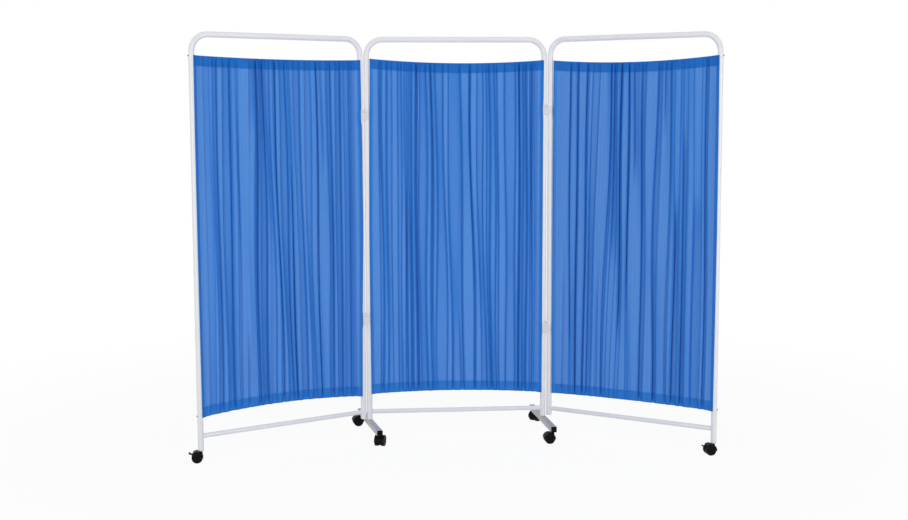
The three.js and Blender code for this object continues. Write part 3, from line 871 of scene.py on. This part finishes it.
screw_head_low = -clamp_plate_depth - hairline
screw_profile = [
    (0.0010, screw_head_low - 0.0018), (0.0022, screw_head_low - 0.00165),
    (0.0029, screw_head_low - 0.0012), (0.0032, screw_head_low - 0.0006),
    (0.0032, screw_head_low), (0.0014, screw_head_low), (0.0014, 0.0115), (0.0008, 0.012),
]
slot_half = 0.0004
slot_reach = 0.0016
recess = [(-slot_half, slot_reach), (-slot_half, slot_half), (-slot_reach, slot_half)]
for quarter in range(3):
    recess += [(-z, x) for x, z in recess[-3:]]
screw_blank = solid("screw_blank", spun(screw_profile))
cross_recess = solid("cross_recess", bar(recess, screw_head_low - 0.004, screw_head_low - 0.0007))
screw_mesh = carved("pan_head_screw", screw_blank, [("DIFFERENCE", cross_recess)])
screw_mesh.transform(moved(0, 0, clamp_screw_rise))
for side, sign, link_place in (("left", -1, left_link_place), ("right", 1, right_link_place)):
    for level, height in zip(("upper", "lower"), clamp_heights[side]):
        clamp_place = link_place @ moved(sign * joint_spacing / 2, 0, height)
        for face, turn in (("front", 0), ("back", 180)):
            add_piece(
                f"{side}_{level}_{face}_half_clamp", clamp_half_mesh, grey_moulding,
                clamp_place @ turned(turn), f"{side}_clamps", "grey_plastic",
                f"{side}_{level}_clamp_{face}",
            )
        add_piece(
            f"{side}_{level}_pan_head_screw", screw_mesh, zinc_steel, clamp_place,
            f"{side}_clamps", "steel", f"{side}_{level}_clamp_screw",
        )


# Two white elastic cords across each frame carry the curtain. They run through its header
# and hem, into the posts, and end in small moulded stops: outside the outer post, and drawn
# up inside the inner posts.
upper_cord_height = 1.6995
lower_cord_height = 0.199
cord_radius = 0.0015
stop_radius = 0.0032
stop_length = 0.003
stop_chamfer = 0.0005
inner_stop_gap = 0.0012
cord_steps = 32
curtain_half_width = post_x - tube_radius - 0.004
top_sags = {"left": 0.007, "centre": 0.016, "right": 0.017}
bottom_arches = {"left": 0.019, "centre": 0.013, "right": 0.006}
end_drops = {"left": (0.0, 0.005), "centre": (-0.002, 0.005), "right": (0.0065, 0.0025)}
outer_sides = {"left": (-1,), "centre": (), "right": (1,)}

elastic = Surface("braided_elastic")
braid = elastic.node(
    "ShaderNodeTexWave", {"bands_direction": "DIAGONAL"},
    {"Vector": elastic.place(), "Scale": 240.0, "Distortion": 0.4}, "Fac",
)
elastic_soil = elastic.noise(25.0, 3.0)
elastic.shade(
    Base_Color=elastic.mixed(elastic_soil, (0.70, 0.70, 0.71, 1), (0.80, 0.80, 0.80, 1)),
    Roughness=0.75 + elastic_soil * 0.1,
    Normal=elastic.bump(braid, 0.5, 0.0003),
)

stop_plastic = Surface("stop_plastic")
stop_clouds = stop_plastic.noise(200.0, 2.0)
stop_plastic.shade(
    Base_Color=stop_plastic.mixed(stop_clouds, (0.21, 0.21, 0.22, 1), (0.29, 0.29, 0.30, 1)),
    Roughness=0.45 + stop_clouds * 0.1,
    Normal=stop_plastic.bump(stop_clouds, 0.1, 0.0002),
)


def hung_height(x, rise, drops):
    """How far a hung line stands above its ends' height, which has settled a little at each."""
    share = min(max(x / (2 * curtain_half_width) + 0.5, 0.0), 1.0)
    return 4 * rise * share * (1 - share) - drops[0] * (1 - share) - drops[1] * share


def cord_skin(start, end, height, rise, drops):
    stations = [((start, height - drops[0]), (1, 0))]
    for step in range(cord_steps + 1):
        x = curtain_half_width * (2 * step / cord_steps - 1)
        slope = -2 * rise * (x / curtain_half_width) / curtain_half_width
        length = math.hypot(1, slope)
        stations.append(((x, height + hung_height(x, rise, drops)), (1 / length, slope / length)))
    stations.append(((end, height - drops[1]), (1, 0)))
    return loft(rings_along(stations, cord_radius, 12))


def stop_skin(low, height):
    high = low + stop_length
    outline = [(stop_radius - stop_chamfer, low), (stop_radius, low + stop_chamfer),
               (stop_radius, high - stop_chamfer), (stop_radius - stop_chamfer, high)]
    return loft([[(x, r * u, height + r * v) for u, v in circle(1.0, 24)] for r, x in outline])


for name, (place, body, *_) in panels.items():
    for level, height, rise in (
        ("upper", upper_cord_height, -top_sags[name]),
        ("lower", lower_cord_height, bottom_arches[name]),
    ):
        ends = []
        stops = []
        for side, drop in zip((-1, 1), end_drops[name]):
            outside = side in outer_sides[name]
            seat = tube_radius + hairline if outside else inner_stop_gap - tube_inner_radius
            near = side * (post_x + seat)
            far = side * (post_x + seat + stop_length)
            ends.append((near + far) / 2)
            stops.append(stop_skin(min(near, far), height - drop))
        line = solid(f"{name}_{level}_elastic", cord_skin(*ends, height, rise, end_drops[name]))
        add_piece(
            f"{name}_{level}_elastic", line, elastic, place, body, "white_cord",
            f"{name}_{level}_cord",
        )
        knobs = solid(f"{name}_{level}_cord_stops", *stops)
        add_piece(f"{name}_{level}_cord_stops", knobs, stop_plastic, place, body, "white_cord")


# Three curtains of thin blue nylon, gathered to about two thirds of their cut width. A doubled
# header and hem carry the cords, narrow doubled hems close the sides, and most side edges lap
# a little over the front of their posts.
header_height = 0.041
hem_height = 0.042
edge_above_cord = 0.002
edge_below_cord = 0.007
side_hem = 0.015
seam_inset = 0.002
stitch_length = 0.0032
cloth_gap = 0.0006
back_layer_gap = 0.0011
edge_play = 0.0007
interior_half = 0.366
lap_radius = 0.0138
lap_radius_at_clamp = 0.0168
lap_at_clamp = 0.0060
lap_columns = 8
side_hem_columns = 5
side_column_step = 0.0025
# Painted shade in the cloth's blue: how much darker the side hems, the hem and the header are
# drawn where the cloth is sewn double, and how much and how fast the hollows of the folds are
# darkened with their depth.
side_hem_shade = 0.45
hem_shade = 0.33
header_shade = 0.62
valley_shade = 0.13
valley_deepening = 28
column_step = 0.003
fine_steps = 4
body_row_step = 0.020
body_inset = 0.006
clamp_reach = 0.036
clamp_easing = 0.012
fold_depths = (0.0026, 0.0062)
fold_drift = 0.005
fold_sway = 0.008
fold_wander = 0.0045
fold_own_bend = 0.0022
fold_bulge = 0.0007
fold_ripple = 0.0005
fold_start_depth = 0.0018
lap_share_of_fold = 0.62
fading_share = 0.34
fade_places = (0.12, 0.88)
fade_length = 0.22
lap_overs = (0.0, 0.002, 0.0045, 0.008, -0.003)
lap_chances = (0.15, 0.25, 0.3, 0.2, 0.1)
cloth_span = upper_cord_height - lower_cord_height + edge_above_cord + edge_below_cord
cloth_length = hem_height + cloth_span + header_height

blue_nylon = Surface("sheer_blue_nylon")
cloth_uv = blue_nylon.node("ShaderNodeTexCoord", {}, {}, "UV")
# Painted shade: a per-point amount stored with the mesh draws the blue darker where cloth lies
# over cloth, in the header and hems, and in the hollows of the folds; it also makes those places a
# little less see-through.
layer_and_valley_shade = blue_nylon.node("ShaderNodeAttribute", {"attribute_name": "layer_and_valley_shade"}, {}, "Fac")
across = blue_nylon.node("ShaderNodeSeparateXYZ", {}, {0: cloth_uv}, "X")
upward = blue_nylon.node("ShaderNodeSeparateXYZ", {}, {0: cloth_uv}, "Y")
to_hem_seam = (upward - (2 * hem_height - seam_inset)).magnitude()
to_header_seam = (upward - (hem_height + cloth_span - header_height + seam_inset)).magnitude()
to_seam = to_hem_seam.maths("MINIMUM", to_hem_seam, to_header_seam)
thread_turns = (across * (2 * math.pi / stitch_length)).sine()
stitched = blue_nylon.above_level(0.0011 - to_seam, 0.0, 0.0006) * blue_nylon.above_level(
    thread_turns, -0.6, -0.2
)
crinkle = blue_nylon.noise(1.0, 4.0, 0.55, blue_nylon.stretched(160, 9, 1, cloth_uv))
cloth_clouds = blue_nylon.noise(1.0, 3.0, where=blue_nylon.stretched(9, 3, 1, cloth_uv))
thread_grain = blue_nylon.noise(1.0, 1.0, where=blue_nylon.stretched(2600, 1500, 1, cloth_uv))
single_colour = blue_nylon.mixed(cloth_clouds, (0.046, 0.247, 0.71, 1), (0.063, 0.272, 0.76, 1))
# Painted shade: by that amount the blue goes over to a darker one.
layer_shade_colour = blue_nylon.mixed(layer_and_valley_shade, single_colour, (0.0035, 0.127, 0.53, 1))
blue_nylon.shade(
    Base_Color=blue_nylon.mixed(stitched * 0.5, layer_shade_colour, (0.003, 0.075, 0.32, 1)),
    Roughness=0.66 + cloth_clouds * 0.1,
    Specular_IOR_Level=0.06,
    Alpha=0.94 + crinkle * 0.03 + blue_nylon.above_level(layer_and_valley_shade, 0.0, 0.3) * 0.035,
    Sheen_Weight=0.06,
    Sheen_Roughness=0.4,
    Sheen_Tint=(0.35, 0.6, 1.0, 1),
    Normal=blue_nylon.bump(crinkle * 0.7 + thread_grain * 0.15 + stitched * 0.5, 0.35, 0.0009),
)


def smooth_step(value):
    level = np.clip(value, 0, 1)
    return level * level * (3 - 2 * level)


def fold_plan(seed, count, leans):
    """Where the folds lie: widths, lap-overs, depths, and where some of them fade."""
    chance = np.random.default_rng(seed)
    widths = 0.42 + chance.gamma(1.7, 0.5, count)
    widths *= 2 * interior_half / widths.sum()
    laps = chance.choice(lap_overs, count - 1, p=lap_chances)
    room = np.minimum(widths[:-1], widths[1:]) * lap_share_of_fold - 0.001
    laps = np.minimum(laps, np.maximum(room, 0))
    depths = chance.uniform(*fold_depths, count)
    fading = chance.random(count) < fading_share
    fading &= np.arange(count) % 2 == chance.integers(2)
    fading[[0, -1]] = False
    edges = -interior_half + np.cumsum(widths)[:-1]
    window = 1 - (edges / interior_half) ** 2
    lean = np.interp(edges, np.linspace(-0.8, 0.8, len(leans)) * interior_half, leans)
    drift = lean + fold_drift * np.sin(edges * 13 + chance.uniform(0, 2 * math.pi))
    plan = {
        "edges": edges,
        "laps": laps,
        "levels": np.where(np.arange(count) % 2 == 0, -depths, depths),
        "drift": drift * window,
        "sway": fold_sway * window,
        "fading": fading,
        "fade_at": chance.uniform(*fade_places, count),
        "fade_up": chance.random(count) < 0.5,
        "phases": chance.uniform(0, 2 * math.pi, (3, count)),
    }
    x, y = fold_line(plan, 0.5, 1.0)
    plan["along"] = np.concatenate([[0], np.cumsum(np.hypot(np.diff(x), np.diff(y)))])
    plan["fine"] = np.arange(0, plan["along"][-1], column_step / fine_steps)
    return plan


def fold_line(plan, share, damping):
    """The corners of the cloth's line at one height, from above."""
    count = len(plan["levels"])
    one, two, three = plan["phases"]
    swell = 1 + 0.22 * np.sin(one + 3.1 * share) + 0.12 * np.sin(two + 7.3 * share)
    levels = plan["levels"] * swell
    level_beside = np.convolve(levels, [0.5, 0, 0.5], "same")
    rising = smooth_step((share - plan["fade_at"]) / fade_length + 0.5)
    kept = np.where(plan["fading"], np.where(plan["fade_up"], rising, 1 - rising), 1.0)
    levels = level_beside + (levels - level_beside) * kept
    wander = fold_wander * np.sin(plan["edges"] * 19 + 1.3 + 2.4 * share)
    sway = plan["sway"] * np.sin(plan["edges"] * 45 + two[0] + 4.2 * share)
    own = fold_own_bend * np.sin(three[:-1] + 4.6 * share)
    edges = plan["edges"] + (wander + sway + own) * math.sin(math.pi * min(max(share, 0), 1))
    edges = edges + plan["drift"] * (0.5 - share)
    laps = plan["laps"] * (np.minimum(kept[:-1], kept[1:]) ** 2) * damping
    starts = np.concatenate([[-interior_half], edges - laps / 2])
    ends = np.concatenate([edges + laps / 2, [interior_half]])
    x = np.empty(3 * count)
    y = np.empty(3 * count)
    x[0::3], x[1::3], x[2::3] = starts, (starts + ends) / 2, ends
    bulge = fold_bulge * np.sin(two + 5 * share)
    y[0::3], y[1::3], y[2::3] = levels, levels + bulge, levels
    return x, y * damping


def softened(values, spread):
    reach = int(3 * spread) + 1
    weights = np.exp(-0.5 * (np.arange(-reach, reach + 1) / spread) ** 2)
    padded = np.pad(values, reach, mode="edge")
    return np.convolve(padded, weights / weights.sum(), "valid")


def layers_at(x):
    """How much cloth lies over each millimetre of the line, from 0 for one flat layer to 1."""
    bin_width = 0.0005
    bins = np.arange(-interior_half - 0.02, interior_half + 0.02, bin_width)
    cloth, _ = np.histogram(x, bins)
    depth = cloth * column_step / fine_steps / bin_width
    depth = 0.6 * softened(depth, 3.0) + 0.4 * softened(depth, 16.0)
    return np.clip((np.interp(x, bins[:-1] + bin_width / 2, depth) - 1.0) / 1.6, 0, 1)


def near_clamp(level, clamps):
    """1 where a clamp holds the post at this level, easing to 0 above and below it."""
    nearness = [(clamp_reach - abs(level - clamp)) / clamp_easing for clamp in clamps]
    return float(smooth_step(max(nearness, default=0)))


def lap_height(start_y, radius, x):
    """Where the cloth lies at x beyond its last fold: straight to the post, then round it."""
    start = Vector((interior_half, start_y))
    away = start - Vector((post_x, 0))
    touch = math.atan2(away.y, away.x) + math.acos(radius / away.length)
    touch_x = post_x + radius * math.cos(touch)
    touch_y = radius * math.sin(touch)
    if x <= touch_x:
        return start_y + (touch_y - start_y) * (x - interior_half) / (touch_x - interior_half)
    return -math.sqrt(radius ** 2 - (x - post_x) ** 2)


def lap_line(start_y, behind, level, laps, clamps):
    """From the last fold out to the side edge, and back behind it for the side hem."""
    share = (level - lower_cord_height) / (upper_cord_height - lower_cord_height)
    lap = np.interp(share, np.linspace(0, 1, len(laps)), laps)
    gripped = near_clamp(level, clamps)
    lap = lap + (min(lap, lap_at_clamp) - lap) * gripped
    radius = lap_radius + (lap_radius_at_clamp - lap_radius) * gripped - behind
    start_y = start_y + behind
    reach = post_x - tube_radius + lap
    points = []
    for x in np.linspace(interior_half, reach, lap_columns + 1)[1:]:
        points.append((x, lap_height(start_y, radius, x)))
    for x in np.linspace(reach - 0.0004, reach - side_hem, side_hem_columns):
        points.append((x, lap_height(start_y + cloth_gap, radius - cloth_gap, x)))
    return points


def cloth_line(plan, sides, level, layer, off, damping, towards, room):
    """The line of cloth at one level, from above, and how much painted shade its colour takes
    along it: more where cloth lies over cloth and less light comes through from behind, and a
    little in the hollows of its folds, where less light falls."""
    share = (level - lower_cord_height) / (upper_cord_height - lower_cord_height)
    fine = plan["fine"]
    x, y = fold_line(plan, share, damping)
    fine_x = softened(np.interp(fine, plan["along"], x), 2.4)
    fine_y = softened(np.interp(fine, plan["along"], y), 2.4)
    x = fine_x[::fine_steps]
    y = fine_y[::fine_steps]
    # Painted shade: darker in the hollows of the folds, the further back they lie, and where cloth
    # lies over cloth.
    valley_shading = np.clip(y * valley_deepening, 0, valley_shade)
    painted_shade = layers_at(fine_x)[::fine_steps] * 0.5 + valley_shading
    y = y + fold_ripple * np.sin(fine[::fine_steps] * 410 + 6 * share) * damping
    x[0], x[-1] = -interior_half, interior_half
    slope_x = np.gradient(x)
    slope_y = np.gradient(y)
    size = np.hypot(slope_x, slope_y) + 1e-9
    x = x - slope_y / size * (1 - towards) * layer * off
    y = y + (slope_x / size * (1 - towards) + towards) * layer * off
    if room and layer:
        y = layer * np.maximum(layer * y, room)
    elif room:
        y = np.clip(y, -edge_play, edge_play)
    behind = back_layer_gap if layer > 0 else 0.0
    left, right = (
        lap_line(min(start_y, -fold_start_depth), behind, level, *side)
        for start_y, side in zip((y[0], y[-1]), sides)
    )
    line = [(-px, py) for px, py in reversed(left)] + list(zip(x, y)) + right
    # Painted shade along the side hems, where the cloth is sewn double.
    side_shades = [0.0] * (lap_columns - 4) + [side_hem_shade] * (4 + side_hem_columns)
    return np.array(line), np.concatenate([side_shades[::-1], painted_shade, side_shades])


# The two layers from an edge to the seam: how far in from the edge, how far each stands off
# the middle line, how much of the folds it keeps, how straight it moves forward or back, and
# its room for the cord.
hem_profile = [
    (0.0, 0.0, 0.42, 1.0, 0.0), (0.0025, 0.0016, 0.38, 1.0, 0.0010),
    (0.0058, 0.0020, 0.36, 1.0, 0.0019), (0.0070, 0.0022, 0.36, 1.0, 0.0021),
    (0.0082, 0.0020, 0.36, 1.0, 0.0019), (0.0120, 0.0014, 0.45, 0.6, 0.0006),
    (0.0165, 0.0007, 0.58, 0.0, 0.0), (0.0240, 0.0006, 0.74, 0.0, 0.0),
    (0.0310, 0.0006, 0.85, 0.0, 0.0), (hem_height, cloth_gap, 0.9, 0.0, 0.0),
]
header_profile = [
    (0.0, 0.0, 0.34, 1.0, 0.0018), (0.0008, 0.0018, 0.34, 1.0, 0.0018),
    (0.0020, 0.0022, 0.34, 1.0, 0.0022), (0.0033, 0.0020, 0.36, 1.0, 0.0019),
    (0.0065, 0.0014, 0.42, 0.8, 0.0008), (0.0110, 0.0008, 0.52, 0.2, 0.0),
    (0.0190, 0.0006, 0.70, 0.0, 0.0), (0.0300, 0.0006, 0.85, 0.0, 0.0),
    (header_height, cloth_gap, 0.9, 0.0, 0.0),
]


def cloth_rows():
    """Down the back of the hem, round the bottom edge, up the front and down behind the top."""
    rows = []
    for up, *shape in reversed(hem_profile[1:]):
        rows.append((0, up, hem_height - up, 1, *shape))
    for up, *shape in hem_profile:
        rows.append((0, up, hem_height + up, -1 if up else 0, *shape))
    first_body = len(rows)
    low = hem_height + body_inset
    high = -header_height - body_inset
    count = int((cloth_span - low + high) / body_row_step)
    for step in range(count + 1):
        share = step / count
        offset = low * (1 - share) + high * share
        along = hem_height + share * cloth_span + offset
        rows.append((share, offset, along, 0, 0.0, 1.0, 0.0, 0.0))
    last_body = len(rows)
    top = hem_height + cloth_span
    for down, *shape in reversed(header_profile):
        rows.append((1, -down, top - down, -1 if down else 0, *shape))
    for down, *shape in header_profile[1:]:
        rows.append((1, -down, top + down, 1, *shape))
    return rows, first_body, last_body


def curtain(name, plan, sides):
    rows, first_body, last_body = cloth_rows()
    first_front = len(hem_profile) - 1
    last_front = len(rows) - len(header_profile) + 1
    points = []
    painted_shade = []
    for row, (share, offset, _, *shape) in enumerate(rows):

        def height(x):
            arch = hung_height(x, bottom_arches[name], end_drops[name])
            sag = hung_height(x, -top_sags[name], end_drops[name])
            low = lower_cord_height - edge_below_cord + arch
            high = upper_cord_height + edge_above_cord + sag
            return low + (high - low) * share + offset

        level = height(interior_half)
        line, line_shade = cloth_line(plan, sides, level, *shape)
        points += [(x, y, height(x)) for x, y in line]
        # Painted shade for the hem and the header, where the cloth is sewn double, laid over the
        # painted shade of the folds.
        doubled_cloth_shade = hem_shade if row < first_body else header_shade if row >= last_body else 0.0
        painted_shade.append(np.clip(line_shade * (1 - doubled_cloth_shade) + doubled_cloth_shade, 0, 1))
    columns = len(line)
    faces = []
    spared = side_hem_columns + lap_columns // 2
    for row in range(len(rows) - 1):
        is_back = row < first_front or row >= last_front
        for column in range(columns - 1):
            if is_back and not spared <= column < columns - 1 - spared:
                continue
            here = row * columns + column
            faces.append((here, here + 1, here + columns + 1, here + columns))
    middle = plan["fine"][::fine_steps]
    outward = side_column_step * np.arange(1, lap_columns + side_hem_columns + 1)
    widths = np.concatenate([-outward[::-1], middle, middle[-1] + outward])
    mesh = bpy.data.meshes.new(f"{name}_cloth")
    mesh.from_pydata(points, [], faces)
    uv = mesh.uv_layers.new(name="cloth")
    corners = np.empty(len(mesh.loops), np.int64)
    mesh.loops.foreach_get("vertex_index", corners)
    heights = np.array([along for _, _, along, *_ in rows])
    flat_places = np.stack([widths[corners % columns], heights[corners // columns]], axis=1)
    uv.data.foreach_set("uv", flat_places.astype(np.float32).ravel())
    # The painted shade is stored on the mesh for the cloth's material.
    shade_attribute = mesh.attributes.new("layer_and_valley_shade", "FLOAT", "POINT")
    shade_attribute.data.foreach_set("value", np.concatenate(painted_shade).astype(np.float32))
    mesh.shade_smooth()
    return mesh, (round(float(widths[-1] - widths[0]), 3), round(cloth_length, 3))


# For each curtain: the seed and number of its folds, how far they lean on the way down at five
# places across it, and for each side its laps over the post, from the hem up, and the clamps.
curtains = {
    "left": (11, 40, (0, -0.004, 0.022, 0.022, 0), (
        ((0.0080, 0.0100, 0.0110, 0.0110, 0.0095), ()),
        ((0.0020, 0.0060, 0.0128, 0.0118, 0.0075), clamp_heights["left"]),
    )),
    "centre": (23, 42, (0, 0.010, 0.009, 0.026, 0), (
        ((0.0030, 0.0055, 0.0062, 0.0012, -0.0020), clamp_heights["left"]),
        ((0.0046, 0.0057, 0.0070, 0.0075, 0.0100), clamp_heights["right"]),
    )),
    "right": (37, 39, (0, -0.062, 0, -0.014, 0), (
        ((-0.0050, -0.0050, -0.0055, -0.0060, -0.0068), clamp_heights["right"]),
        ((0.0118, 0.0140, 0.0158, 0.0150, 0.0130), ()),
    )),
}
for name, (seed, fold_count, leans, sides) in curtains.items():
    place, body, *_ = panels[name]
    cloth_mesh, flat = curtain(name, fold_plan(seed, fold_count, leans), sides)
    cloth = add_piece(
        f"{name}_cloth", cloth_mesh, blue_nylon, place, body, "blue_cloth",
        f"{name}_curtain",
    )
